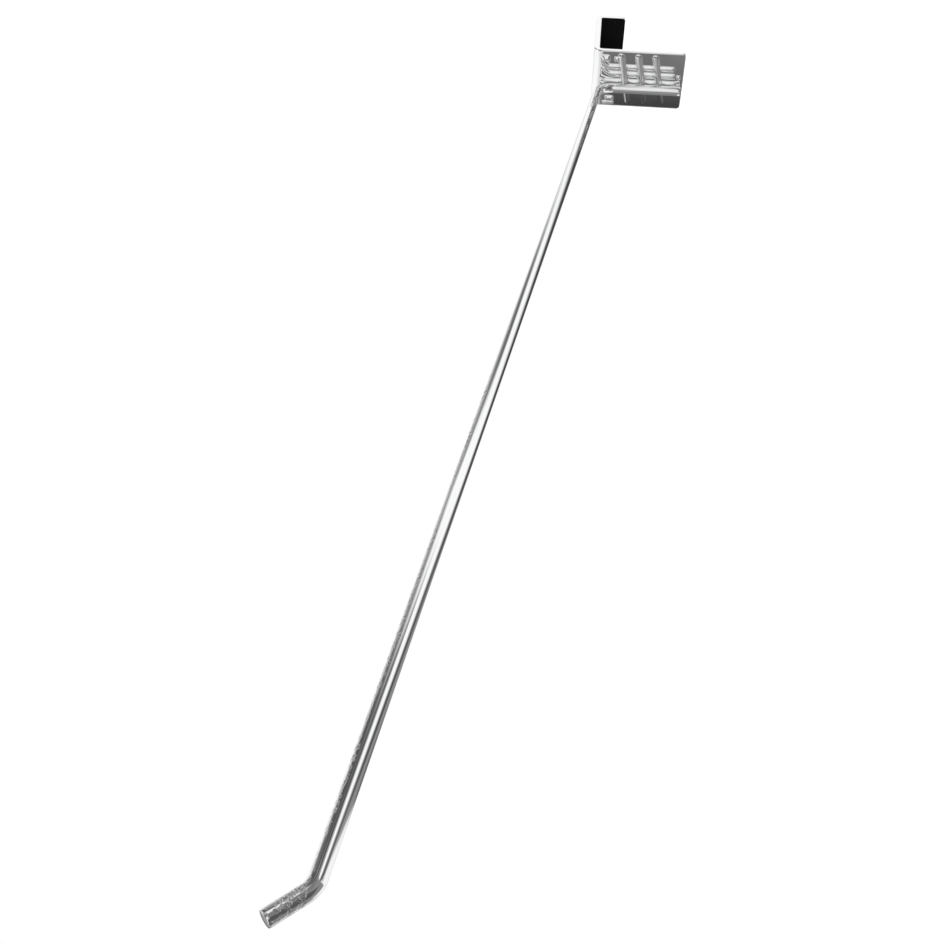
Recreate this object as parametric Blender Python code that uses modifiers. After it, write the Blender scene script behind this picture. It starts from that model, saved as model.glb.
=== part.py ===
"""Steel hook that hangs on a rectangular rail: a folded sheet bracket with a welded wire arm.

Metres, +Z up, -Y forwards. The origin is the middle of the web's underside, the face that
rests on the rail. The slot for the rail is open at both sides and at the bottom.
"""

import math

import bmesh
import bpy
from mathutils import Matrix, Vector

# Bracket: one strip of sheet folded twice
SHEET_THICKNESS = 0.0025
BRACKET_WIDTH = 0.025
SLOT_DEPTH = 0.038
PLATE_DROP = 0.038
LIP_DROP = 0.011
FOLD_INNER_RADIUS = 0.0015
CORNER_RADIUS = 0.0015
EDGE_RADIUS = 0.0003
FOLD_STEPS = 8

# Ribs pressed across the plate from behind, slightly aslant, on which the wire is welded
RIB_COUNT = 3
RIB_PITCH = 0.0076
RIB_MIDDLE_DROP = 0.0196
RIB_SLANT = math.radians(12)
RIB_HEIGHT = 0.0009
RIB_WIDTH = 0.0026
RIB_END_MARGIN = 0.0011
GROOVE_DEPTH = 0.0005
GROOVE_WIDTH = 0.0018

# Wire arm: one round wire with two bends and two sheared ends
WIRE_DIAMETER = 0.004
WIRE_SIDE_OFFSET = -0.003
WELD_GAP = 0.0003
WIRE_FOOT_MARGIN = 0.0009
ROOT_CORNER_DROP = 0.0008
ROOT_BEND_RADIUS = 0.008
ARM_LENGTH = 0.4
ARM_TILT = math.radians(6.5)
TIP_LENGTH = 0.0113
TIP_BEND = math.radians(41)
TIP_BEND_RADIUS = 0.0038
WIRE_END_CHAMFER = 0.00025
BEND_STEP = math.radians(6)
WIRE_RESOLUTION = 10

# Places that follow from the sizes above
PLATE_BACK = -SLOT_DEPTH / 2
PLATE_FRONT = PLATE_BACK - SHEET_THICKNESS
WIRE_AXIS_Y = PLATE_FRONT - RIB_HEIGHT - WELD_GAP - WIRE_DIAMETER / 2

MERGE_DISTANCE = 1e-6


def new_collection(name):
    """A collection under the scene's own."""
    collection = bpy.data.collections.new(name)
    bpy.context.scene.collection.children.link(collection)
    return collection


def new_object(name, mesh, collection):
    """An object for the mesh or curve, in the collection."""
    obj = bpy.data.objects.new(name, mesh)
    collection.objects.link(obj)
    return obj


def metal(name, colour, roughness):
    """A plain plated metal."""
    material = bpy.data.materials.new(name)
    material.use_nodes = True
    shader = material.node_tree.nodes["Principled BSDF"]
    shader.inputs["Base Color"].default_value = (*colour, 1)
    shader.inputs["Metallic"].default_value = 1
    shader.inputs["Roughness"].default_value = roughness
    return material


def apply_modifiers(obj):
    """Turns the object's evaluated form, a curve's too, into a plain mesh object of the same name."""
    graph = bpy.context.evaluated_depsgraph_get()
    mesh = bpy.data.meshes.new_from_object(obj.evaluated_get(graph))
    bm = bmesh.new()
    bm.from_mesh(mesh)
    bmesh.ops.remove_doubles(bm, verts=bm.verts, dist=MERGE_DISTANCE)
    bmesh.ops.recalc_face_normals(bm, faces=bm.faces)
    bm.to_mesh(mesh)
    bm.free()
    name, matrix, collection = obj.name, obj.matrix_world.copy(), obj.users_collection[0]
    bpy.data.objects.remove(obj)
    mesh.name = name
    made = new_object(name, mesh, collection)
    made.name = name
    made.matrix_world = matrix
    return made


def arc(centre, radius, start, end, steps):
    """Points of an arc in a plane, both ends included."""
    turn = (end - start) / steps
    angles = [start + turn * i for i in range(steps + 1)]
    return [(centre[0] + radius * math.cos(a), centre[1] + radius * math.sin(a)) for a in angles]


def sheet_profile():
    """The sheet's middle line in (y, z), from the plate's lower end over the web to the lip's end."""
    half = SHEET_THICKNESS / 2
    radius = FOLD_INNER_RADIUS + half
    front, back, top = PLATE_BACK - half, SLOT_DEPTH / 2 + half, half
    points = [(front, -PLATE_DROP)]
    points += arc((front + radius, top - radius), radius, math.pi, math.pi / 2, FOLD_STEPS)
    points += arc((back - radius, top - radius), radius, math.pi / 2, 0, FOLD_STEPS)
    points.append((back, -LIP_DROP))
    return points


def bevel_edges(bm, chosen, width, segments):
    """Rounds the chosen edges."""
    bmesh.ops.bevel(
        bm, geom=chosen, offset=width, offset_type="OFFSET", segments=segments, profile=0.5,
        affect="EDGES", clamp_overlap=True,
    )


def strip_corners(bm):
    """The four edges through the sheet at the free corners of plate and lip."""
    ends = (-PLATE_DROP, -LIP_DROP)

    def at_corner(vert):
        on_side = abs(abs(vert.co.x) - BRACKET_WIDTH / 2) < MERGE_DISTANCE
        return on_side and any(abs(vert.co.z - z) < MERGE_DISTANCE for z in ends)

    def through_sheet(edge):
        a, b = (vert.co for vert in edge.verts)
        return abs(abs(a.y - b.y) - SHEET_THICKNESS) < MERGE_DISTANCE

    return [e for e in bm.edges if all(map(at_corner, e.verts)) and through_sheet(e)]


def make_strip(collection):
    """The folded strip, with its free corners and all its edges rounded."""
    bm = bmesh.new()
    row = [bm.verts.new((-BRACKET_WIDTH / 2, y, z)) for y, z in sheet_profile()]
    edges = [bm.edges.new(pair) for pair in zip(row, row[1:])]
    swept = bmesh.ops.extrude_edge_only(bm, edges=edges)["geom"]
    moved = [item for item in swept if isinstance(item, bmesh.types.BMVert)]
    bmesh.ops.translate(bm, verts=moved, vec=(BRACKET_WIDTH, 0, 0))
    mesh = bpy.data.meshes.new("bracket")
    bm.to_mesh(mesh)
    bm.free()
    strip = new_object("bracket", mesh, collection)
    wall = strip.modifiers.new("sheet", "SOLIDIFY")
    wall.thickness = SHEET_THICKNESS
    wall.offset = 0
    wall.use_even_offset = True
    strip = apply_modifiers(strip)
    bm = bmesh.new()
    bm.from_mesh(strip.data)
    bevel_edges(bm, strip_corners(bm), CORNER_RADIUS, 6)
    sharp = [e for e in bm.edges if e.is_manifold and e.calc_face_angle() > math.radians(60)]
    bevel_edges(bm, sharp, EDGE_RADIUS, 2)
    bm.to_mesh(strip.data)
    bm.free()
    return strip


def rib_radius(height, width):
    """Radius of the round whose cap has this height and width."""
    return (width * width / 4 + height * height) / (2 * height)


def capsule(name, radius, length, place, collection):
    """A round bar with ball ends, along X but for the ribs' slant."""
    reach = length / 2 - radius
    profile = arc((reach, 0), radius, 0, math.pi / 2, 6)
    profile += arc((-reach, 0), radius, math.pi / 2, math.pi, 6)
    mesh = bpy.data.meshes.new(name)
    mesh.from_pydata([(x, 0, z) for x, z in profile], [(i, i + 1) for i in range(len(profile) - 1)], [])
    bar = new_object(name, mesh, collection)
    bar.location = place
    bar.rotation_euler = (0, -RIB_SLANT, 0)
    turned = bar.modifiers.new("turned", "SCREW")
    turned.axis = "X"
    turned.steps = turned.render_steps = 32
    turned.use_merge_vertices = True
    turned.merge_threshold = 1e-5
    turned.use_normal_calculate = True
    return apply_modifiers(bar)


def add_boolean(obj, other, operation):
    """Joins the other solid to the object, or cuts it out."""
    modifier = obj.modifiers.new(other.name, "BOOLEAN")
    modifier.operation = operation
    modifier.object = other
    modifier.solver = "EXACT"
    other.hide_render = True
    other.display_type = "WIRE"


def press_ribs(strip, cutters):
    """Raises the ribs on the plate's front and sinks the grooves that they leave at its back."""
    length = (BRACKET_WIDTH - 2 * RIB_END_MARGIN) / math.cos(RIB_SLANT)
    rib = rib_radius(RIB_HEIGHT, RIB_WIDTH)
    groove = rib_radius(GROOVE_DEPTH, GROOVE_WIDTH)
    first = -RIB_MIDDLE_DROP + RIB_PITCH * (RIB_COUNT - 1) / 2
    for i in range(RIB_COUNT):
        z = first - RIB_PITCH * i
        ridge_place = (0, PLATE_FRONT - RIB_HEIGHT + rib, z)
        groove_place = (0, PLATE_BACK - GROOVE_DEPTH + groove, z)
        ridge = capsule(f"rib_{i + 1}", rib, length, ridge_place, cutters)
        add_boolean(strip, ridge, "UNION")
        sunk = capsule(f"groove_{i + 1}", groove, length, groove_place, cutters)
        add_boolean(strip, sunk, "DIFFERENCE")


def make_bracket(collection, cutters, frame):
    """The folded bracket with its pressed ribs."""
    bracket = make_strip(collection)
    press_ribs(bracket, cutters)
    bracket.data.materials.append(metal("plated_sheet", (0.72, 0.73, 0.75), 0.12))
    bracket.parent = frame
    return bracket


def bend(corner, before, after, radius):
    """Points of the arc that rounds a corner between two directions, all in the plane x = 0."""
    turn = before.angle(after)
    reach = radius * math.tan(turn / 2)
    side = (after - before * before.dot(after)).normalized()
    start = corner - before * reach
    centre = start + side * radius
    steps = max(4, round(turn / BEND_STEP))
    axis = before.cross(side)
    return [centre + Matrix.Rotation(turn * i / steps, 3, axis) @ (start - centre) for i in range(steps + 1)]


def wire_path():
    """The wire's centre line, from its foot on the plate to the tip's end, about the root corner."""
    foot_z = -PLATE_DROP + WIRE_FOOT_MARGIN + ROOT_CORNER_DROP
    up = Vector((0, 0, 1))
    arm = Vector((0, -math.cos(ARM_TILT), math.sin(ARM_TILT)))
    tip_angle = ARM_TILT + TIP_BEND
    tip = Vector((0, -math.cos(tip_angle), math.sin(tip_angle)))
    root_corner = Vector((0, 0, 0))
    tip_corner = root_corner + arm * ARM_LENGTH
    points = [Vector((0, 0, foot_z))]
    points += bend(root_corner, up, arm, ROOT_BEND_RADIUS)
    points += bend(tip_corner, arm, tip, TIP_BEND_RADIUS)
    points.append(tip_corner + tip * TIP_LENGTH)
    return points


def chamfer_ends(wire):
    """Breaks the rims of the two sheared ends."""
    bm = bmesh.new()
    bm.from_mesh(wire.data)
    caps = [face for face in bm.faces if len(face.verts) > 4]
    rims = [edge for cap in caps for edge in cap.edges]
    bevel_edges(bm, rims, WIRE_END_CHAMFER, 2)
    bm.to_mesh(wire.data)
    bm.free()


def make_wire_arm(collection, frame):
    """The bent wire, standing off the ribs by the weld gap."""
    curve = bpy.data.curves.new("wire_arm", "CURVE")
    curve.dimensions = "3D"
    curve.bevel_depth = WIRE_DIAMETER / 2
    curve.bevel_resolution = WIRE_RESOLUTION
    curve.use_fill_caps = True
    path = wire_path()
    spline = curve.splines.new("POLY")
    spline.points.add(len(path) - 1)
    for point, place in zip(spline.points, path):
        point.co = (*place, 1)
    wire = new_object("wire_arm", curve, collection)
    wire.location = (WIRE_SIDE_OFFSET, WIRE_AXIS_Y, -ROOT_CORNER_DROP)
    bpy.context.view_layer.update()
    wire = apply_modifiers(wire)
    chamfer_ends(wire)
    wire.data.shade_smooth()
    wire.data.set_sharp_from_angle(angle=math.radians(40))
    wire.data.materials.append(metal("plated_wire", (0.76, 0.77, 0.79), 0.1))
    wire.parent = frame
    return wire


def main():
    """Clears the scene and builds the hook."""
    for obj in list(bpy.data.objects):
        bpy.data.objects.remove(obj)
    parts = new_collection("steel_hook")
    cutters = new_collection("cutters")
    frame = new_object("hook_frame", None, parts)
    make_bracket(parts, cutters, frame)
    make_wire_arm(parts, frame)


main()
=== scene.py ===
"""Looks of a plated display hook: a folded sheet bracket with pressed ribs and the bent wire welded on it.

Metres, +Z up and -Y forwards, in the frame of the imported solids. The origin is the middle of the
web's underside, the face that rests on the rail. Every finished piece sits at the origin, with its
place in its mesh.
"""

import logging
import math
import random
from dataclasses import dataclass
from enum import Enum
from typing import ClassVar, Union

import bmesh
import bpy
from mathutils import Matrix, Vector

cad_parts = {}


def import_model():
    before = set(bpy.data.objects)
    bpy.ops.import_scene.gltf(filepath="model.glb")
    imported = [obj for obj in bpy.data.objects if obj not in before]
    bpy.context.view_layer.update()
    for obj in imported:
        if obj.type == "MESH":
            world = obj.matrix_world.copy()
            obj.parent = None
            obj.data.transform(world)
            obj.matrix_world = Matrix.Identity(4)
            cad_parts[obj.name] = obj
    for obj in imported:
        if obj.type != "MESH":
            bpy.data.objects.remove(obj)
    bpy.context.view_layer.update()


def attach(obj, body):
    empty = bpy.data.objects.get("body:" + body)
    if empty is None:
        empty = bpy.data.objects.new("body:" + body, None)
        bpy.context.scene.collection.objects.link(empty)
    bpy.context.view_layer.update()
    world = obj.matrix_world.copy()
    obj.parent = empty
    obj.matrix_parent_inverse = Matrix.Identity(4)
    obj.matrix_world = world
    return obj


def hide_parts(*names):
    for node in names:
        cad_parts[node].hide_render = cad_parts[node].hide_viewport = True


# What goes into a node's input: another node's output or a plain value.
Feed = Union[bpy.types.NodeSocket, float]

LOG = logging.getLogger("display_hook")
BODY = "root"
X_AXIS = Vector((1, 0, 0))
Z_AXIS = Vector((0, 0, 1))
# Edges that turn further than this stay sharp.
SHARP_ANGLE = math.radians(50)
# Places that are closer than this are taken as one.
TOUCH = 1e-5


class Rays(Enum):
    """Which rays meet a studio surface."""

    ALL = "all"
    REFLECTIONS = "reflections"


def ring_of(geom: list) -> tuple[list, list]:
    """Sorts what an extrusion made.

    Args:
        geom: The operator's new vertices, edges and faces.

    Returns:
        The new vertices, and the edges that join two of them.
    """
    verts = [item for item in geom if isinstance(item, bmesh.types.BMVert)]
    known = set(verts)
    edges = [item for item in geom if isinstance(item, bmesh.types.BMEdge) and known.issuperset(item.verts)]
    return verts, edges


@dataclass
class Sweep:
    """An open tube that grows from a ring of edges, one stretch after the other.

    Attributes:
        bm: The mesh that it grows in.
        verts: Vertices of the ring at its growing end.
        edges: Edges of that ring.
    """

    bm: bmesh.types.BMesh
    verts: list
    edges: list

    def step(self, offset: Vector) -> None:
        """Grows by one straight step.

        Args:
            offset: The step, from the last ring to the new one.
        """
        grown = bmesh.ops.extrude_edge_only(self.bm, edges=self.edges)
        self.verts, self.edges = ring_of(grown["geom"])
        bmesh.ops.translate(self.bm, verts=self.verts, vec=offset)

    def run(self, direction: Vector, length: float, steps: int) -> None:
        """Grows straight, in equal steps.

        Args:
            direction: Unit vector of the stretch.
            length: Its length.
            steps: How many rings it gets.
        """
        for _ in range(steps):
            self.step(direction * (length / steps))

    def turn(self, centre: Vector, axis: Vector, angle: float, steps: int) -> None:
        """Grows round a bend.

        Args:
            centre: A point on the bend's axis.
            axis: Unit vector of that axis.
            angle: How far it turns, in radians.
            steps: How many rings it gets.
        """
        made = bmesh.ops.spin(
            self.bm, geom=self.verts + self.edges, cent=centre, axis=axis, angle=angle, steps=steps
        )
        self.verts, self.edges = ring_of(made["geom_last"])

    def close(self) -> None:
        """Fills the growing end with one face."""
        bmesh.ops.edgeloop_fill(self.bm, edges=self.edges)


def finished_object(name: str, bm: bmesh.types.BMesh, material: bpy.types.Material) -> bpy.types.Object:
    """Turns a closed bmesh into a smooth-shaded object at the origin.

    Args:
        name: The piece's name.
        bm: Its mesh, which is freed.
        material: Its finish.

    Returns:
        The linked object.
    """
    bmesh.ops.recalc_face_normals(bm, faces=bm.faces)
    mesh = bpy.data.meshes.new(name)
    bm.to_mesh(mesh)
    bm.free()
    mesh.shade_smooth()
    mesh.set_sharp_from_angle(angle=SHARP_ANGLE)
    mesh.materials.append(material)
    piece = bpy.data.objects.new(name, mesh)
    bpy.context.scene.collection.objects.link(piece)
    return piece


class NodeBoard:
    """Adds nodes to a tree and wires them by name."""

    def __init__(self, tree: bpy.types.NodeTree) -> None:
        """Keeps the tree and clears it."""
        self.tree = tree
        tree.nodes.clear()

    def add(self, kind: str, **settings: object) -> bpy.types.Node:
        """Adds a node.

        Args:
            kind: Its type, without the ShaderNode prefix.
            **settings: Properties of the node.

        Returns:
            The node.
        """
        prefix = "" if kind.startswith("NodeGroup") else "ShaderNode"
        node = self.tree.nodes.new(prefix + kind)
        for key, value in settings.items():
            setattr(node, key, value)
        return node

    def wire(self, source: bpy.types.NodeSocket, target: bpy.types.NodeSocket) -> None:
        """Joins an output to an input."""
        self.tree.links.new(source, target)

    def feed(self, node: bpy.types.Node, **inputs: object) -> bpy.types.Node:
        """Sets or wires a node's inputs.

        Args:
            node: The node.
            **inputs: A socket or a value for each input, with underscores for the spaces in its name.

        Returns:
            The same node.
        """
        for key, value in inputs.items():
            name = key.replace("_", " ")
            target = node.inputs[int(key[1:])] if key[1:].isdigit() else node.inputs[name]
            if isinstance(value, bpy.types.NodeSocket):
                self.wire(value, target)
            else:
                target.default_value = value
        return node

    def maths(
        self, operation: str, first: Feed, second: Feed = 0.0, clamp: bool = False
    ) -> bpy.types.NodeSocket:
        """The result of a Math node.

        Args:
            operation: Its operation.
            first: Its first value or socket.
            second: Its second value or socket.
            clamp: Whether the result is held between 0 and 1.

        Returns:
            The output socket.
        """
        node = self.add("Math", operation=operation, use_clamp=clamp)
        return self.feed(node, i0=first, i1=second).outputs["Value"]

    def ramp(
        self, value: Feed, low: Feed, high: Feed, start: Feed = 0.0, end: Feed = 1.0
    ) -> bpy.types.NodeSocket:
        """A value mapped smoothly from one range to another.

        Args:
            value: The value or socket.
            low: Value or socket where the mapping starts.
            high: Value or socket where it ends.
            start: The result at low.
            end: The result at high.

        Returns:
            The output socket.
        """
        node = self.add("MapRange", interpolation_type="SMOOTHSTEP")
        self.feed(node, Value=value, From_Min=low, From_Max=high, To_Min=start, To_Max=end)
        return node.outputs["Result"]

    def total(self, start: Feed, *parts: tuple[bpy.types.NodeSocket, Feed]) -> Feed:
        """The sum of a start and of sockets times their weights.

        Args:
            start: The value or socket that the sum starts from.
            *parts: Each socket with its weight.

        Returns:
            The output socket.
        """
        result = start
        for socket, weight in parts:
            result = self.maths("ADD", self.maths("MULTIPLY", socket, weight), result)
        return result


class PlatingEffect:
    """Node groups that the plated finishes share. Each is built once.

    Attributes:
        PITS: Name of the pits' group.
        GRAIN: Name of the streaks' group.
        PIT_RANGE: Noise between the clean surface and the bottom of a pit.
        CLUSTER_RANGE: Noise between a clean area and a pitted one.
        CLUSTER_SCALE: Scale of those areas against that of the pits.
        EVEN_SPREAD: The spread at which half of the surface is pitted.
        BROAD_SCALE: Scale of the streaks' slow change against their own.
        STREAK_GAIN: What brings the product of two noises back to the range of one.
    """

    PITS = "plating_pits"
    GRAIN = "drawn_grain"
    PIT_RANGE = (0.45, 0.72)
    CLUSTER_RANGE = (0.42, 0.62)
    CLUSTER_SCALE = 0.16
    EVEN_SPREAD = 0.5
    BROAD_SCALE = 0.08
    STREAK_GAIN = 2.0

    @staticmethod
    def group(
        name: str, inputs: dict[str, float], outputs: tuple[str, ...]
    ) -> tuple[NodeBoard, bpy.types.Node, bpy.types.Node]:
        """Starts a node group with a vector input, named value inputs and named outputs.

        Args:
            name: The group's name.
            inputs: Default of each value input.
            outputs: Names of the outputs.

        Returns:
            The board, the input node and the output node.
        """
        tree = bpy.data.node_groups.new(name, "ShaderNodeTree")
        tree.interface.new_socket("Vector", in_out="INPUT", socket_type="NodeSocketVector")
        for key, value in inputs.items():
            socket = tree.interface.new_socket(key, in_out="INPUT", socket_type="NodeSocketFloat")
            socket.default_value = value
        for key in outputs:
            tree.interface.new_socket(key, in_out="OUTPUT", socket_type="NodeSocketFloat")
        board = NodeBoard(tree)
        return board, board.add("NodeGroupInput"), board.add("NodeGroupOutput")

    @classmethod
    def pits(cls) -> bpy.types.NodeTree:
        """Small shallow pits and blisters in the plating, in clusters.

        Returns:
            The group, with outputs Height and Mask.
        """
        if cls.PITS in bpy.data.node_groups:
            return bpy.data.node_groups[cls.PITS]
        board, given, result = cls.group(cls.PITS, {"Scale": 900.0, "Spread": 0.5}, ("Height", "Mask"))
        fine = board.feed(
            board.add("TexNoise"), Vector=given.outputs["Vector"], Scale=given.outputs["Scale"],
            Detail=3.0, Roughness=0.55,
        )
        cluster_scale = board.maths("MULTIPLY", given.outputs["Scale"], cls.CLUSTER_SCALE)
        clusters = board.feed(
            board.add("TexNoise"), Vector=given.outputs["Vector"], Scale=cluster_scale, Detail=2.0
        )
        shallow = board.ramp(fine.outputs["Fac"], *cls.PIT_RANGE)
        more = board.maths("SUBTRACT", given.outputs["Spread"], cls.EVEN_SPREAD)
        where = board.ramp(board.maths("ADD", clusters.outputs["Fac"], more), *cls.CLUSTER_RANGE)
        mask = board.maths("MULTIPLY", shallow, where)
        board.wire(mask, result.inputs["Mask"])
        board.wire(mask, result.inputs["Height"])
        return board.tree

    @classmethod
    def grain(cls) -> bpy.types.NodeTree:
        """Long fine streaks along Y, as drawing leaves them.

        Returns:
            The group, with outputs Height and Value.
        """
        if cls.GRAIN in bpy.data.node_groups:
            return bpy.data.node_groups[cls.GRAIN]
        board, given, result = cls.group(
            cls.GRAIN, {"Scale": 1500.0, "Stretch": 0.03}, ("Height", "Value")
        )
        stretch = board.add("CombineXYZ")
        board.feed(stretch, X=1.0, Y=given.outputs["Stretch"], Z=1.0)
        drawn = board.add("VectorMath", operation="MULTIPLY")
        board.feed(drawn, i0=given.outputs["Vector"], i1=stretch.outputs["Vector"])
        streaks = board.feed(
            board.add("TexNoise"), Vector=drawn.outputs["Vector"], Scale=given.outputs["Scale"], Detail=2.0
        )
        broad = board.feed(
            board.add("TexNoise"), Vector=given.outputs["Vector"],
            Scale=board.maths("MULTIPLY", given.outputs["Scale"], cls.BROAD_SCALE), Detail=3.0,
        )
        board.wire(streaks.outputs["Fac"], result.inputs["Height"])
        mixed = board.maths("MULTIPLY", streaks.outputs["Fac"], broad.outputs["Fac"])
        board.wire(board.maths("MULTIPLY", mixed, cls.STREAK_GAIN, clamp=True), result.inputs["Value"])
        return board.tree


class StudioEffect:
    """Node group that the studio's dome uses for each patch."""

    PATCH = "soft_patch"

    @classmethod
    def patch(cls) -> bpy.types.NodeTree:
        """An area with soft edges on a sphere of directions.

        Returns:
            The group, with the output Mask.
        """
        if cls.PATCH in bpy.data.node_groups:
            return bpy.data.node_groups[cls.PATCH]
        tree = bpy.data.node_groups.new(cls.PATCH, "ShaderNodeTree")
        for key in ("Vector", "Ahead", "Right", "Up"):
            tree.interface.new_socket(key, in_out="INPUT", socket_type="NodeSocketVector")
        for key in ("Half width", "Half height", "Soft"):
            tree.interface.new_socket(key, in_out="INPUT", socket_type="NodeSocketFloat")
        tree.interface.new_socket("Mask", in_out="OUTPUT", socket_type="NodeSocketFloat")
        board = NodeBoard(tree)
        given, result = board.add("NodeGroupInput"), board.add("NodeGroupOutput")
        shares = []
        for key in ("Ahead", "Right", "Up"):
            dot = board.add("VectorMath", operation="DOT_PRODUCT")
            board.feed(dot, i0=given.outputs["Vector"], i1=given.outputs[key])
            shares.append(dot.outputs["Value"])
        ahead, right, up = shares
        across = board.maths("ABSOLUTE", board.maths("ARCTAN2", right, ahead))
        along = board.maths("ABSOLUTE", board.maths("ARCSINE", up))
        masks = []
        for away, half in ((across, "Half width"), (along, "Half height")):
            inner = board.maths("SUBTRACT", given.outputs[half], given.outputs["Soft"])
            masks.append(board.ramp(away, inner, given.outputs[half], 1.0, 0.0))
        board.wire(board.maths("MULTIPLY", *masks), result.inputs["Mask"])
        return board.tree


@dataclass(frozen=True)
class PlatedFinish:
    """Bright plating on steel.

    Attributes:
        name: The material's name.
        bright: Colour where the plating is clean.
        dull: Colour of its pits and dull streaks.
        polish: Roughness where it is clean.
        haze: What the streaks add to the roughness.
        pit_scale: Pits over a metre.
        pit_spread: Share of the surface that is pitted near the bracket, about 0.5 being half.
        pit_growth: What the share gains towards the arm's tip, on its upper side, where goods slide.
        pit_depth: Depth of a pit.
        grain_scale: Streaks over a metre, across them.
        grain_depth: Height of a streak.
        waviness: Height of the slow unevenness that bends the reflections.
        wave_scale: Waves of that unevenness over a metre.
        PITS_START: Place along Y where the pits start to grow denser.
        PITS_FULL: Place along Y where they are densest.
        PITS_FADE: Height above the arm's middle line over which the growth sets in.
        PIT_ROUGHNESS: What a pit adds to the roughness.
        ARM_TILT: The arm's rise, along which its upper side is measured.
        ARM_MIDDLE: Distance of the arm's middle line from the origin, across that rise.
    """

    name: str
    bright: tuple[float, float, float]
    dull: tuple[float, float, float]
    polish: float = 0.025
    haze: float = 0.03
    pit_scale: float = 900.0
    pit_spread: float = 0.35
    pit_growth: float = 0.0
    pit_depth: float = 0.00002
    grain_scale: float = 1500.0
    grain_depth: float = 0.0000012
    waviness: float = 0.00001
    wave_scale: float = 120.0

    PITS_START: ClassVar[float] = -0.12
    PITS_FULL: ClassVar[float] = -0.36
    PITS_FADE: ClassVar[float] = 0.0012
    PIT_ROUGHNESS: ClassVar[float] = 0.05
    ARM_TILT: ClassVar[float] = math.radians(6.5)
    ARM_MIDDLE: ClassVar[float] = -0.0036

    def pit_share(self, board: NodeBoard, place: bpy.types.NodeSocket) -> Feed:
        """Share of the surface that is pitted, place by place.

        Args:
            board: The material's board.
            place: Object coordinates.

        Returns:
            The plain share, or a socket where it grows towards the tip.
        """
        if not self.pit_growth:
            return self.pit_spread
        apart = board.feed(board.add("SeparateXYZ"), Vector=place)
        toward_tip = board.ramp(apart.outputs["Y"], self.PITS_FULL, self.PITS_START, self.pit_growth, 0.0)
        above = board.total(
            board.maths("MULTIPLY", apart.outputs["Y"], math.sin(self.ARM_TILT)),
            (apart.outputs["Z"], math.cos(self.ARM_TILT)),
        )
        upper = board.ramp(above, self.ARM_MIDDLE, self.ARM_MIDDLE + self.PITS_FADE)
        return board.total(self.pit_spread, (toward_tip, upper))

    def material(self) -> bpy.types.Material:
        """Builds the material.

        Returns:
            The node material, on Object coordinates.
        """
        material = bpy.data.materials.new(self.name)
        material.use_nodes = True
        board = NodeBoard(material.node_tree)
        place = board.add("TexCoord").outputs["Object"]
        pits = board.add("Group", node_tree=PlatingEffect.pits())
        board.feed(pits, Vector=place, Scale=self.pit_scale, Spread=self.pit_share(board, place))
        grain = board.add("Group", node_tree=PlatingEffect.grain())
        board.feed(grain, Vector=place, Scale=self.grain_scale)
        waves = board.feed(board.add("TexNoise"), Vector=place, Scale=self.wave_scale, Detail=1.0)
        colour = board.feed(
            board.add("Mix", data_type="RGBA"), Factor=pits.outputs["Mask"],
            i6=(*self.bright, 1.0), i7=(*self.dull, 1.0),
        )
        roughness = board.total(
            self.polish, (grain.outputs["Value"], self.haze), (pits.outputs["Mask"], self.PIT_ROUGHNESS)
        )
        height = board.total(
            board.maths("MULTIPLY", pits.outputs["Height"], -self.pit_depth),
            (grain.outputs["Height"], self.grain_depth), (waves.outputs["Fac"], self.waviness),
        )
        bump = board.feed(board.add("Bump"), Height=height, Distance=1.0, Strength=1.0)
        shader = board.feed(
            board.add("BsdfPrincipled"), Base_Color=colour.outputs["Result"], Metallic=1.0,
            Roughness=roughness, Normal=bump.outputs["Normal"],
        )
        output = board.add("OutputMaterial")
        board.wire(shader.outputs["BSDF"], output.inputs["Surface"])
        return material


CLEAN_METAL = (0.97, 0.973, 0.976)
SHEET_PLATING = PlatedFinish(
    "sheet_plating", bright=CLEAN_METAL, dull=(0.7, 0.69, 0.68), pit_spread=0.2, pit_depth=0.000008
)
WIRE_PLATING = PlatedFinish(
    "wire_plating", bright=CLEAN_METAL, dull=(0.5, 0.48, 0.46), pit_spread=0.18, pit_growth=0.46,
    pit_depth=0.00009,
)
# Near-black painted shade for the inside of the slot, the web's underside and the lip's inner face, where
# the plating looks dark.
SLOT_PAINTED_SHADE = PlatedFinish(
    "slot_painted_shade", bright=(0.012, 0.012, 0.012), dull=(0.03, 0.028, 0.026), polish=0.3, waviness=0.0
)
WELD_PLATING = PlatedFinish("weld_plating", bright=(0.74, 0.73, 0.72), dull=(0.4, 0.37, 0.34), polish=0.16)


@dataclass
class PressedRib:
    """One rib pressed across the plate.

    Attributes:
        drop: How far its middle lies below the web's underside.
        slant: Change of its height for each metre along X.
        length: Its length along X, round ends included.
        width: Its width at the plate's surface.
        height: How far its crown stands out of the plate.
        fade: Share of its height that is lost towards its -X end.
        FADE_START: Place along X where the loss starts, under the wire.
        FADE_END: Place along X where it is complete.
    """

    drop: float
    slant: float
    length: float
    width: float
    height: float
    fade: float = 0.0

    FADE_START: ClassVar[float] = -0.003
    FADE_END: ClassVar[float] = -0.0052

    def level(self, x: float) -> float:
        """Height of its middle line at a place across the plate."""
        return -self.drop + self.slant * x

    def rise(self, x: float, z: float) -> float:
        """How far the surface stands out at a place.

        Args:
            x: The place across the plate.
            z: The place's height.

        Returns:
            The rise, with a round crown that runs softly into the plate.
        """
        half = self.length / 2 - self.width / 2
        over = max(abs(x) - half, 0.0)
        away = math.hypot(z - self.level(x), over) / (self.width / 2)
        faded = min(max((self.FADE_START - x) / (self.FADE_START - self.FADE_END), 0.0), 1.0)
        crown = self.height * (1 - self.fade * faded * faded * (3 - 2 * faded))
        return crown * math.cos(min(away, 1.0) * math.pi / 2) ** 2


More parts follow.
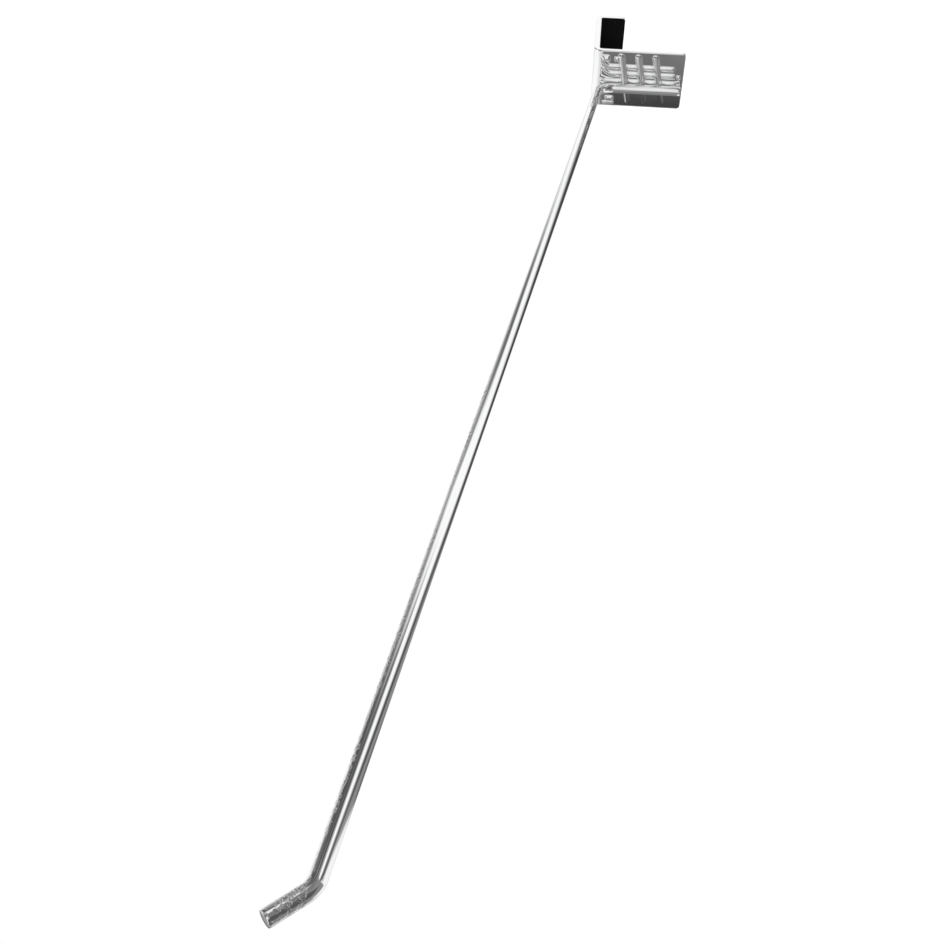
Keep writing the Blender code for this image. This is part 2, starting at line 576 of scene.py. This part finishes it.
@dataclass
class PlateWave:
    """One shallow wave that the pressing left in the plate between two ribs.

    Attributes:
        across: Place of its crest along X.
        drop: How far its middle lies below the web's underside.
        half_length: Half its length, along the plate's height.
        climb: How far its upper end bends towards +X.
        slant: Change of its height for each metre along X.
        half_width: Half its width.
        height: Height of its crest.
    """

    across: float
    drop: float
    half_length: float
    climb: float
    slant: float
    half_width: float = 0.0014
    height: float = 0.0004

    def rise(self, x: float, z: float) -> float:
        """How far the surface stands out at a place.

        Args:
            x: The place across the plate.
            z: The place's height.

        Returns:
            The rise, with a round crest and blunt ends.
        """
        along = (z + self.drop - self.slant * x) / self.half_length
        if abs(along) >= 1:
            return 0.0
        crest = self.across + self.climb * max(along, 0.0) ** 2
        away = min(abs(x - crest) / self.half_width, 1.0)
        return self.height * (1 - along ** 4) * math.cos(away * math.pi / 2) ** 2


@dataclass
class FoldedBracket:
    """The folded strip that hangs on the rail: front plate, web and lip.

    Attributes:
        width: The strip's width along X.
        sheet: Its thickness.
        slot: Gap between plate and lip.
        plate_drop: The plate's reach below the web's underside.
        lip_drop: The lip's reach below it.
        fold: Radius of the folds' inner side.
        corner: Radius of the free corners.
        edge: Radius of all the sheet's edges.
        rib_count: Ribs on the plate.
        rib_pitch: Distance between them.
        rib_drop: The middle rib's place below the web's underside.
        rib_slant: Change of a rib's height for each metre along X.
        rib_length: A rib's length.
        rib_width: A rib's width.
        rib_height: A rib's height.
        rib_fade: Share of that height that is lost below the wire.
        groove_depth: Depth of the groove behind a rib.
        groove_width: Width of that groove.
        wave_crests: Places of the shallow waves' crests across the plate.
        wave_climbs: How far each crest bends towards +X beside the fold.
        wave_spans: Drop of the upper and lower end of each row of waves.
        dents: Small dents of their own: place along X, drop, half length, half width and height.
        painted_shade_margin: How far round the slot's edges the painted shade reaches.
        ACROSS_CUTS: Cuts of the strip's width.
        EDGE_STEPS: Steps round each edge of the section.
        CORNER_RINGS: Rings over a round corner.
        PLATE_RINGS: Rings over the plate above its corners.
        FOLD_RINGS: Rings round a fold.
        WEB_RINGS: Rings over the web.
        LIP_RINGS: Rings over the lip above its corners.
    """

    width: float = 0.025
    sheet: float = 0.0025
    slot: float = 0.038
    plate_drop: float = 0.038
    lip_drop: float = 0.011
    fold: float = 0.0015
    corner: float = 0.0015
    edge: float = 0.0003
    rib_count: int = 3
    rib_pitch: float = 0.0076
    rib_drop: float = 0.0196
    rib_slant: float = 0.2126
    rib_length: float = 0.0228
    rib_width: float = 0.003
    rib_height: float = 0.0009
    rib_fade: float = 0.98
    groove_depth: float = 0.0005
    groove_width: float = 0.0022
    wave_crests: tuple[float, ...] = (0.0054, 0.0023, -0.0012)
    wave_climbs: tuple[float, ...] = (0.004, 0.003, 0.0)
    wave_spans: tuple[tuple[float, float], ...] = (
        (0.0025, 0.0112), (0.0134, 0.0188), (0.0208, 0.0264), (0.0282, 0.035),
    )
    dents: tuple[tuple[float, ...], ...] = (
        (0.0088, 0.0052, 0.0016, 0.002, 0.0006),
        (0.0088, 0.0098, 0.0009, 0.0012, 0.0004),
        (-0.009, 0.0041, 0.0018, 0.0013, 0.0004),
        (-0.0109, 0.0033, 0.0025, 0.0008, 0.00018),
        (0.0019, 0.0363, 0.0008, 0.0011, 0.0004),
    )
    painted_shade_margin: float = 0.0001

    ACROSS_CUTS: ClassVar[int] = 118
    EDGE_STEPS: ClassVar[int] = 4
    CORNER_RINGS: ClassVar[int] = 8
    PLATE_RINGS: ClassVar[int] = 150
    FOLD_RINGS: ClassVar[int] = 14
    WEB_RINGS: ClassVar[int] = 24
    LIP_RINGS: ClassVar[int] = 20

    @property
    def fine_reach(self) -> float:
        """Length of the strip at a free end that gets the fine rings for its round corners."""
        return 3 * self.corner / 4

    @property
    def plate_front(self) -> float:
        """Place of the plate's front face along Y."""
        return -self.slot / 2 - self.sheet

    def ribs(self) -> list[PressedRib]:
        """The ribs, from the web down."""
        first = self.rib_drop - self.rib_pitch * (self.rib_count - 1) / 2
        return [
            PressedRib(
                first + self.rib_pitch * i, self.rib_slant, self.rib_length, self.rib_width,
                self.rib_height, self.rib_fade,
            )
            for i in range(self.rib_count)
        ]

    def waves(self) -> list[PlateWave]:
        """The shallow waves between the ribs, row by row from the fold down."""
        waves = []
        for row, (upper, lower) in enumerate(self.wave_spans):
            for crest, climb in zip(self.wave_crests, self.wave_climbs):
                bend = climb if row == 0 else 0.0
                middle, half = (upper + lower) / 2, (lower - upper) / 2
                waves.append(PlateWave(crest, middle, half, bend, self.rib_slant))
        for across, drop, half, half_width, height in self.dents:
            waves.append(PlateWave(across, drop, half, 0.0, self.rib_slant, half_width, height))
        return waves

    def section(self, bm: bmesh.types.BMesh) -> Sweep:
        """Makes the strip's rounded section at the plate's lower end.

        Args:
            bm: The mesh that it goes into.

        Returns:
            The sweep that starts from it.
        """
        bmesh.ops.create_grid(bm, x_segments=1, y_segments=1, size=0.5)
        bmesh.ops.scale(bm, verts=bm.verts, vec=(self.width, self.sheet, 1))
        bmesh.ops.bevel(
            bm, geom=bm.verts[:], offset=self.edge, offset_type="OFFSET", segments=self.EDGE_STEPS,
            profile=0.5, affect="VERTICES", material=-1,
        )
        bmesh.ops.delete(bm, geom=bm.faces[:], context="FACES_ONLY")
        long_edges = [edge for edge in bm.edges if edge.calc_length() > self.width / 2]
        bmesh.ops.subdivide_edges(bm, edges=long_edges, cuts=self.ACROSS_CUTS)
        middle = Vector((0, self.plate_front + self.sheet / 2, -self.plate_drop))
        bmesh.ops.translate(bm, verts=bm.verts, vec=middle)
        return Sweep(bm, bm.verts[:], bm.edges[:])

    def taper(self, reach: float, radius: float, half: float) -> float:
        """Share of the half width that is left near a free end whose corners are round.

        Args:
            reach: Distance from the end.
            radius: Radius of the corners.
            half: Half the width.

        Returns:
            The share, 1 once past the corner.
        """
        inset = max(radius - reach, 0.0)
        return 1 - (radius - math.sqrt(radius * radius - inset * inset)) / half

    def shape_end(self, bm: bmesh.types.BMesh, lift: float, middle_y: float) -> None:
        """Rounds the corners and the edge of a free end.

        Args:
            bm: The strip's mesh.
            lift: Height of the end.
            middle_y: Place of the sheet's middle there.
        """
        for vert in bm.verts:
            reach = vert.co.z - lift
            if not 0 <= reach < self.corner + TOUCH or abs(vert.co.y - middle_y) > self.sheet:
                continue
            vert.co.x *= self.taper(reach, self.corner, self.width / 2)
            across = self.taper(reach, self.edge, self.sheet / 2)
            vert.co.y = middle_y + (vert.co.y - middle_y) * across

    def press(self, bm: bmesh.types.BMesh) -> None:
        """Raises the ribs and waves on the plate's front and sinks the grooves behind the ribs.

        Args:
            bm: The strip's mesh.
        """
        back = -self.slot / 2
        ribs = self.ribs()
        raised = ribs + self.waves()
        grooves = [
            PressedRib(rib.drop, rib.slant, rib.length, self.groove_width, self.groove_depth)
            for rib in ribs
        ]
        for vert in bm.verts:
            x, y, z = vert.co
            if y < self.plate_front + TOUCH:
                vert.co.y -= sum(form.rise(x, z) for form in raised)
            elif abs(y - back) < TOUCH:
                vert.co.y -= sum(groove.rise(x, z) for groove in grooves)

    def paint_slot_shade(self, piece: bpy.types.Object, painted_shade_finish: bpy.types.Material) -> None:
        """Paints near-black shade on the web's underside and the lip's inner face, standing for the dark
        reflections inside the slot.

        Args:
            piece: The bracket.
            painted_shade_finish: The near-black material that paints that shade.
        """
        piece.data.materials.append(painted_shade_finish)
        # Faces inside the slot get the painted shade.
        reach = self.slot / 2 + self.painted_shade_margin
        for face in piece.data.polygons:
            _, y, z = face.center
            if -reach + self.fold < y < reach and z < self.painted_shade_margin:
                face.material_index = 1

    def build(self, finish: PlatedFinish, painted_shade_finish: PlatedFinish) -> bpy.types.Object:
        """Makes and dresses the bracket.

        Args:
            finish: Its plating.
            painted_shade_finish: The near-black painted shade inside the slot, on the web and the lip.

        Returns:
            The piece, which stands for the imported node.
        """
        bm = bmesh.new()
        sweep = self.section(bm)
        sweep.close()
        outer = self.fold + self.sheet
        fold_z = self.sheet - outer
        up, back, down = Z_AXIS, Vector((0, 1, 0)), -Z_AXIS
        sweep.run(up, self.fine_reach, self.CORNER_RINGS)
        sweep.run(up, fold_z + self.plate_drop - self.fine_reach, self.PLATE_RINGS)
        sweep.turn(Vector((0, self.plate_front + outer, fold_z)), X_AXIS, -math.pi / 2, self.FOLD_RINGS)
        sweep.run(back, self.slot - 2 * self.fold, self.WEB_RINGS)
        sweep.turn(Vector((0, self.slot / 2 - self.fold, fold_z)), X_AXIS, -math.pi / 2, self.FOLD_RINGS)
        sweep.run(down, fold_z + self.lip_drop - self.fine_reach, self.LIP_RINGS)
        sweep.run(down, self.fine_reach, self.CORNER_RINGS)
        sweep.close()
        middle = (self.slot + self.sheet) / 2
        self.shape_end(bm, -self.plate_drop, -middle)
        self.shape_end(bm, -self.lip_drop, middle)
        self.press(bm)
        piece = finished_object("bracket_sheet", bm, finish.material())
        self.paint_slot_shade(piece, painted_shade_finish.material())
        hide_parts("bracket")
        return piece


@dataclass
class WireArm:
    """The round wire: foot on the plate, root bend, long arm and bent tip.

    Attributes:
        diameter: The wire's diameter.
        axis_x: Place of its middle line along X.
        axis_y: Place of the foot's middle line along Y.
        foot_z: Height of the foot's end.
        root_z: Height of the corner that the root bend rounds.
        root_bend: Radius of the root bend's middle line.
        arm: Length of the arm, from corner to corner.
        tilt: How far the arm rises.
        tip: Length of the tip beyond its corner.
        tip_turn: How far the tip turns up.
        tip_bend: Radius of the tip bend's middle line.
        chamfer: Width of the broken rims at the two ends.
        AROUND: Steps round the wire.
        FOOT_RINGS: Rings over the foot.
        ROOT_RINGS: Rings round the root bend.
        ARM_RINGS: Rings over the arm.
        BEND_RINGS: Rings round the tip bend.
        TIP_RINGS: Rings over the tip.
        RIM_SHARES: Shares of the chamfer's length that the two steps of a rim take, from the end on.
    """

    diameter: float = 0.004
    axis_x: float = -0.003
    axis_y: float = -0.0247
    foot_z: float = -0.0371
    root_z: float = -0.0008
    root_bend: float = 0.008
    arm: float = 0.4
    tilt: float = math.radians(6.5)
    tip: float = 0.0113
    tip_turn: float = math.radians(41)
    tip_bend: float = 0.0062
    chamfer: float = 0.00025

    AROUND: ClassVar[int] = 64
    FOOT_RINGS: ClassVar[int] = 24
    ROOT_RINGS: ClassVar[int] = 32
    ARM_RINGS: ClassVar[int] = 200
    BEND_RINGS: ClassVar[int] = 20
    TIP_RINGS: ClassVar[int] = 12
    RIM_SHARES: ClassVar[tuple[float, float]] = (0.3, 0.7)

    @property
    def along(self) -> Vector:
        """Direction of the arm."""
        return Vector((0, -math.cos(self.tilt), math.sin(self.tilt)))

    @property
    def root(self) -> Vector:
        """The corner that the root bend rounds."""
        return Vector((self.axis_x, self.axis_y, self.root_z))

    def round_rim(self, sweep: Sweep, direction: Vector, grow: bool) -> None:
        """Breaks the rim of an end in two steps.

        Args:
            sweep: The wire as far as it has grown.
            direction: Where it grows to.
            grow: Whether the wire widens to its full diameter or narrows to its end.
        """
        radius = self.diameter / 2
        widths = [radius - self.chamfer, radius - self.RIM_SHARES[0] * self.chamfer, radius]
        shares = list(self.RIM_SHARES)
        if not grow:
            widths.reverse()
            shares.reverse()
        for before, after, share in zip(widths, widths[1:], shares):
            sweep.step(direction * (self.chamfer * share))
            middle = sum((vert.co for vert in sweep.verts), Vector()) / len(sweep.verts)
            bmesh.ops.scale(
                sweep.bm, verts=sweep.verts, vec=(after / before,) * 3, space=Matrix.Translation(-middle)
            )

    def build(self, finish: PlatedFinish) -> bpy.types.Object:
        """Makes and dresses the wire.

        Args:
            finish: Its plating.

        Returns:
            The piece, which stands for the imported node.
        """
        bm = bmesh.new()
        radius = self.diameter / 2 - self.chamfer
        bmesh.ops.create_circle(bm, cap_ends=False, segments=self.AROUND, radius=radius)
        bmesh.ops.translate(bm, verts=bm.verts, vec=(self.axis_x, self.axis_y, self.foot_z))
        sweep = Sweep(bm, bm.verts[:], bm.edges[:])
        sweep.close()
        self.round_rim(sweep, Z_AXIS, True)
        root_turn = math.pi / 2 - self.tilt
        reach = self.root_bend * math.tan(root_turn / 2)
        sweep.run(Z_AXIS, self.root_z - reach - self.foot_z - self.chamfer, self.FOOT_RINGS)
        centre = self.root - Z_AXIS * reach + Vector((0, -self.root_bend, 0))
        sweep.turn(centre, X_AXIS, root_turn, self.ROOT_RINGS)
        tip_reach = self.tip_bend * math.tan(self.tip_turn / 2)
        sweep.run(self.along, self.arm - reach - tip_reach, self.ARM_RINGS)
        upward = Vector((0, self.along.z, -self.along.y))
        start = self.root + self.along * (self.arm - tip_reach)
        sweep.turn(start + upward * self.tip_bend, X_AXIS, -self.tip_turn, self.BEND_RINGS)
        steep = self.tilt + self.tip_turn
        out = Vector((0, -math.cos(steep), math.sin(steep)))
        sweep.run(out, self.tip - tip_reach - self.chamfer, self.TIP_RINGS)
        self.round_rim(sweep, out, False)
        sweep.close()
        piece = finished_object("wire_rod", bm, finish.material())
        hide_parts("wire_arm")
        return piece


@dataclass
class WeldBeads:
    """The flattened beads of metal where the wire is welded to the ribs' crowns.

    Attributes:
        reach_x: A bead's half length across the wire.
        reach_y: Its half thickness.
        reach_z: Its half width along the wire.
        lift: How far its middle stands out of the rib's crown.
        unevenness: How far its outline strays, as a share.
        seed: Seed of that outline.
        AROUND: Steps round a bead.
        RINGS: Steps from one pole of a bead to the other.
    """

    reach_x: float = 0.0019
    reach_y: float = 0.0007
    reach_z: float = 0.0013
    lift: float = 0.0002
    unevenness: float = 0.02
    seed: int = 4

    AROUND: ClassVar[int] = 40
    RINGS: ClassVar[int] = 24

    def build(self, bracket: FoldedBracket, wire: WireArm, finish: PlatedFinish) -> bpy.types.Object:
        """Makes one bead at each crossing.

        Args:
            bracket: The bracket whose ribs carry them.
            wire: The wire that they hold.
            finish: Their plating.

        Returns:
            The beads as one piece.
        """
        draw = random.Random(self.seed)
        bm = bmesh.new()
        crown = bracket.plate_front - bracket.rib_height
        for rib in bracket.ribs():
            made = bmesh.ops.create_uvsphere(
                bm, u_segments=self.AROUND, v_segments=self.RINGS, radius=1.0
            )["verts"]
            for vert in made:
                vert.co *= 1 + draw.uniform(-self.unevenness, self.unevenness)
            bmesh.ops.smooth_vert(
                bm, verts=made, factor=0.5, use_axis_x=True, use_axis_y=True, use_axis_z=True
            )
            bmesh.ops.scale(bm, verts=made, vec=(self.reach_x, self.reach_y, self.reach_z))
            place = Vector((wire.axis_x, crown - self.lift, rib.level(wire.axis_x)))
            bmesh.ops.translate(bm, verts=made, vec=place)
        return finished_object("weld_beads", bm, finish.material())


@dataclass
class PhotoCamera:
    """The camera, turned on its side as the hook lies in the picture.

    Attributes:
        place: Where it stands.
        forward: Where it looks.
        up: The picture's upward direction.
        lens: Focal length in millimetres.
        sensor: Width of the sensor in millimetres.
        near: Distance from which it sees.
    """

    place: Vector = Vector((0.2092, -0.5390, 0.0032))
    forward: Vector = Vector((-0.6537, 0.7531, 0.0737))
    up: Vector = Vector((0.7566, 0.6491, 0.0782))
    lens: float = 44.61
    sensor: float = 36.0
    near: float = 0.01

    def build(self) -> bpy.types.Object:
        """Makes it the scene's camera.

        Returns:
            The camera object.
        """
        data = bpy.data.cameras.new("photo_camera")
        data.lens = self.lens
        data.sensor_width = self.sensor
        data.clip_start = self.near
        camera = bpy.data.objects.new("photo_camera", data)
        bpy.context.scene.collection.objects.link(camera)
        ahead = self.forward.normalized()
        right = ahead.cross(self.up).normalized()
        turn = Matrix((right, right.cross(ahead), -ahead)).transposed()
        camera.matrix_world = Matrix.Translation(self.place) @ turn.to_4x4()
        bpy.context.scene.camera = camera
        return camera


@dataclass(frozen=True)
class Patch:
    """A soft-edged area of the surroundings, as the plating reflects them.

    Attributes:
        azimuth: Direction of its middle, in degrees from +X towards +Y.
        elevation: Height of its middle above the horizon, in degrees.
        half_width: Half its width, in degrees.
        half_height: Half its height, in degrees.
        level: Its brightness.
        soft: Width of its soft edge, in degrees.
        roll: Its turn about its own middle, in degrees.
    """

    azimuth: float
    elevation: float
    half_width: float
    half_height: float
    level: float
    soft: float = 8.0
    roll: float = 0.0

    def axes(self) -> tuple[Vector, Vector, Vector]:
        """The patch's own directions.

        Returns:
            Unit vectors towards its middle, to its right and upwards.
        """
        turn = Matrix.Rotation(math.radians(self.azimuth), 3, "Z")
        turn = turn @ Matrix.Rotation(math.radians(-self.elevation), 3, "Y")
        turn = turn @ Matrix.Rotation(math.radians(self.roll), 3, "X")
        return turn @ Vector((1, 0, 0)), turn @ Vector((0, -1, 0)), turn @ Vector((0, 0, 1))


@dataclass
class Studio:
    """Plain pale floor, white surroundings, a soft lamp and the dome that the plating reflects.

    Attributes:
        floor_level: Height of the floor.
        floor_size: Half its side.
        floor_paint: Grey of its paint.
        floor_rough: Least and greatest roughness of its paint.
        floor_speckle: Speckles of that roughness over a metre.
        floor_glow: What the camera sees on it beyond the lit paint.
        dome_radius: Radius of the dome.
        dome_level: Its brightness where no patch is.
        world_light: The surroundings' light on the object.
        world_white: The surroundings' brightness to the camera.
        lamp_offset: Place of the lamp from the middle.
        lamp_size: Side of its square.
        lamp_power: Its power in watts.
        SPECKLE_RANGE: Noise between the least and the greatest roughness.
        MIDDLE: The middle of the dome, about that of the arm.
        PATCHES: The patches on the dome, each over those before it. Their numbers aren't set by hand: they
            were fitted to the greys of the plating in the photograph.
            hand: a separate program fitted them to the greys of the plating in the photograph.
    """

    floor_level: float = -0.16
    floor_size: float = 6.0
    floor_paint: float = 0.86
    floor_rough: tuple[float, float] = (0.55, 0.7)
    floor_speckle: float = 30.0
    floor_glow: float = 0.55
    dome_radius: float = 2.4
    dome_level: float = 1.0
    world_light: float = 0.6
    world_white: float = 1.0
    lamp_offset: tuple[float, float, float] = (0.6, -0.5, 1.2)
    lamp_size: float = 1.4
    lamp_power: float = 14.0

    SPECKLE_RANGE: ClassVar[tuple[float, float]] = (0.3, 0.7)
    MIDDLE: ClassVar[Vector] = Vector((0, -0.2, 0))
    PATCHES: ClassVar[tuple[Patch, ...]] = (
        Patch(144, -39, 28, 88, 0.07, 27, -36),
        Patch(29, 48, 58, 88, 0.13, 29, 32),
        Patch(45, 35, 13, 57, 1.00, 10, 0),
        Patch(108, -31, 33, 28, 0.05, 18, -26),
        Patch(80, 44, 28, 56, 0.55, 30, -83),
        Patch(51, -25, 18, 57, 0.98, 11, -41),
        Patch(20, -51, 17, 19, 0.12, 11, 35),
        Patch(45, 39, 37, 23, 0.09, 22, 49),
        Patch(122, -62, 12, 43, 0.26, 9, -27),
        Patch(-179, -32, 70, 25, 0.92, 2, -83),
        Patch(85, 36, 26, 2, 0.20, 2, 2),
        Patch(47, 13, 3, 23, 0.89, 5, -34),
        Patch(115, -48, 12, 29, 0.04, 20, -47),
        Patch(74, -22, 9, 16, 0.00, 11, 28),
        Patch(-82, 9, 86, 73, 0.78, 2, 85),
        Patch(-150, 15, 34, 62, 0.35, 7, 28),
        Patch(-35, -54, 63, 24, 0.25, 5, 49),
        Patch(-20, 17, 54, 23, 0.19, 6, -54),
        Patch(-162, -5, 33, 54, 0.19, 6, -99),
        Patch(-120, 2, 6, 11, 0.61, 2, -53),
        Patch(-89, -2, 20, 6, 0.00, 12, -7),
        Patch(-147, 63, 14, 68, 1.00, 13, -113),
        Patch(-111, -7, 5, 9, 0.12, 5, -156),
        Patch(-133, -4, 4, 20, 0.05, 2, 91),
        Patch(-106, -34, 35, 12, 0.01, 14, 5),
        Patch(14, 10, 16, 8, 1.00, 5, 56),
        Patch(-60, -43, 33, 33, 0.09, 20, 71),
        Patch(179, -20, 24, 13, 0.90, 2, 4),
        Patch(-87, 43, 28, 25, 0.21, 5, 87),
        Patch(-41, -4, 4, 59, 0.85, 5, 90),
        Patch(125, -15, 23, 15, 0.17, 15, 14),
        Patch(21, 3, 17, 9, 0.01, 13, 20),
        Patch(-131, -17, 31, 7, 0.32, 6, 62),
        Patch(-105, -15, 10, 15, 0.26, 6, 2),
        Patch(-142, -5, 32, 13, 0.36, 10, 55),
        Patch(-176, -32, 5, 54, 0.79, 13, 104),
    )

    def show(self, surface: bpy.types.Object, rays: Rays) -> None:
        """Marks a studio surface and limits the rays that meet it.

        Args:
            surface: The floor or the dome.
            rays: Which rays meet it.
        """
        if rays is Rays.REFLECTIONS:
            surface.visible_camera = False
            surface.visible_diffuse = False
            surface.visible_shadow = False
            surface.visible_transmission = False
            surface.visible_volume_scatter = False
        else:
            surface.visible_glossy = False

    def surface(
        self, name: str, bm: bmesh.types.BMesh, material: bpy.types.Material, rays: Rays
    ) -> bpy.types.Object:
        """Makes a studio surface.

        Args:
            name: Its name.
            bm: Its mesh, which is freed.
            material: Its material.
            rays: Which rays meet it.

        Returns:
            The object.
        """
        mesh = bpy.data.meshes.new(name)
        bm.to_mesh(mesh)
        bm.free()
        mesh.materials.append(material)
        made = bpy.data.objects.new(name, mesh)
        bpy.context.scene.collection.objects.link(made)
        self.show(made, rays)
        return made

    def build_dome(self) -> None:
        """Hangs the dome round everything: white, with the soft patches on it in their order."""
        material = bpy.data.materials.new("studio_dome")
        material.use_nodes = True
        board = NodeBoard(material.node_tree)
        place = board.add("VectorMath", operation="SUBTRACT")
        board.feed(place, i0=board.add("TexCoord").outputs["Object"], i1=tuple(self.MIDDLE))
        toward = board.feed(board.add("VectorMath", operation="NORMALIZE"), i0=place.outputs["Vector"])
        level = self.dome_level
        for patch in self.PATCHES:
            ahead, right, up = patch.axes()
            mask = board.add("Group", node_tree=StudioEffect.patch())
            board.feed(
                mask, Vector=toward.outputs["Vector"], Ahead=tuple(ahead), Right=tuple(right), Up=tuple(up),
                Half_width=math.radians(patch.half_width), Half_height=math.radians(patch.half_height),
                Soft=math.radians(patch.soft),
            )
            mix = board.feed(board.add("Mix"), i0=mask.outputs["Mask"], i2=level, i3=patch.level)
            level = mix.outputs["Result"]
        glow = board.feed(board.add("Emission"), Color=(1, 1, 1, 1), Strength=level)
        board.wire(glow.outputs["Emission"], board.add("OutputMaterial").inputs["Surface"])
        bm = bmesh.new()
        bmesh.ops.create_icosphere(bm, subdivisions=5, radius=self.dome_radius)
        bmesh.ops.translate(bm, verts=bm.verts, vec=self.MIDDLE)
        self.surface("studio_dome", bm, material, Rays.REFLECTIONS)

    def build_floor(self) -> None:
        """Lays the pale floor, which the camera sees white where no shadow falls."""
        material = bpy.data.materials.new("pale_floor")
        material.use_nodes = True
        board = NodeBoard(material.node_tree)
        speckle = board.feed(
            board.add("TexNoise"), Vector=board.add("TexCoord").outputs["Object"],
            Scale=self.floor_speckle, Detail=2.0,
        )
        roughness = board.ramp(speckle.outputs["Fac"], *self.SPECKLE_RANGE, *self.floor_rough)
        paint = board.feed(
            board.add("BsdfPrincipled"), Base_Color=(*[self.floor_paint] * 3, 1), Roughness=roughness
        )
        glow = board.feed(board.add("Emission"), Color=(1, 1, 1, 1), Strength=self.floor_glow)
        dark = board.feed(board.add("Emission"), Color=(0, 0, 0, 1), Strength=0.0)
        extra = board.feed(
            board.add("MixShader"), i0=board.add("LightPath").outputs["Is Camera Ray"],
            i1=dark.outputs["Emission"], i2=glow.outputs["Emission"],
        )
        both = board.feed(board.add("AddShader"), i0=paint.outputs["BSDF"], i1=extra.outputs["Shader"])
        board.wire(both.outputs["Shader"], board.add("OutputMaterial").inputs["Surface"])
        bm = bmesh.new()
        bmesh.ops.create_grid(bm, x_segments=1, y_segments=1, size=self.floor_size)
        bmesh.ops.translate(bm, verts=bm.verts, vec=(0, 0, self.floor_level))
        self.surface("pale_floor", bm, material, Rays.ALL)

    def build_world(self) -> None:
        """White to the camera, to reflections and through glass, and a plain level for the rest."""
        world = bpy.data.worlds.new("white_studio")
        bpy.context.scene.world = world
        world.use_nodes = True
        board = NodeBoard(world.node_tree)
        path = board.add("LightPath")
        seen = board.maths("MAXIMUM", path.outputs["Is Camera Ray"], path.outputs["Is Glossy Ray"])
        seen = board.maths("MAXIMUM", seen, path.outputs["Is Transmission Ray"])
        plain = board.feed(board.add("Background"), Color=(1, 1, 1, 1), Strength=self.world_light)
        white = board.feed(board.add("Background"), Color=(1, 1, 1, 1), Strength=self.world_white)
        mix = board.feed(
            board.add("MixShader"), i0=seen, i1=plain.outputs["Background"], i2=white.outputs["Background"]
        )
        board.wire(mix.outputs["Shader"], board.add("OutputWorld").inputs["Surface"])

    def build_lamp(self) -> None:
        """Hangs a soft lamp that the plating doesn't reflect, because the dome's patches stand for it."""
        data = bpy.data.lights.new("soft_lamp", "AREA")
        data.shape = "SQUARE"
        data.size = self.lamp_size
        data.energy = self.lamp_power
        lamp = bpy.data.objects.new("soft_lamp", data)
        bpy.context.scene.collection.objects.link(lamp)
        offset = Vector(self.lamp_offset)
        turn = offset.to_track_quat("Z", "Y").to_matrix().to_4x4()
        lamp.matrix_world = Matrix.Translation(self.MIDDLE + offset) @ turn
        lamp.visible_glossy = False

    def build(self) -> None:
        """Sets up the whole studio."""
        self.build_world()
        self.build_floor()
        self.build_dome()
        self.build_lamp()
        bpy.context.scene.view_settings.view_transform = "Standard"


def main() -> None:
    """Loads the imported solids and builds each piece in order."""
    logging.basicConfig(level=logging.INFO, format="%(message)s")
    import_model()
    PhotoCamera().build()
    bracket, wire, beads = FoldedBracket(), WireArm(), WeldBeads()
    pieces = [
        bracket.build(SHEET_PLATING, SLOT_PAINTED_SHADE),
        wire.build(WIRE_PLATING),
        beads.build(bracket, wire, WELD_PLATING),
    ]
    for piece in pieces:
        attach(piece, BODY)
        LOG.info("%s: %d faces", piece.name, len(piece.data.polygons))
    Studio().build()


if __name__ == "__main__":
    main()
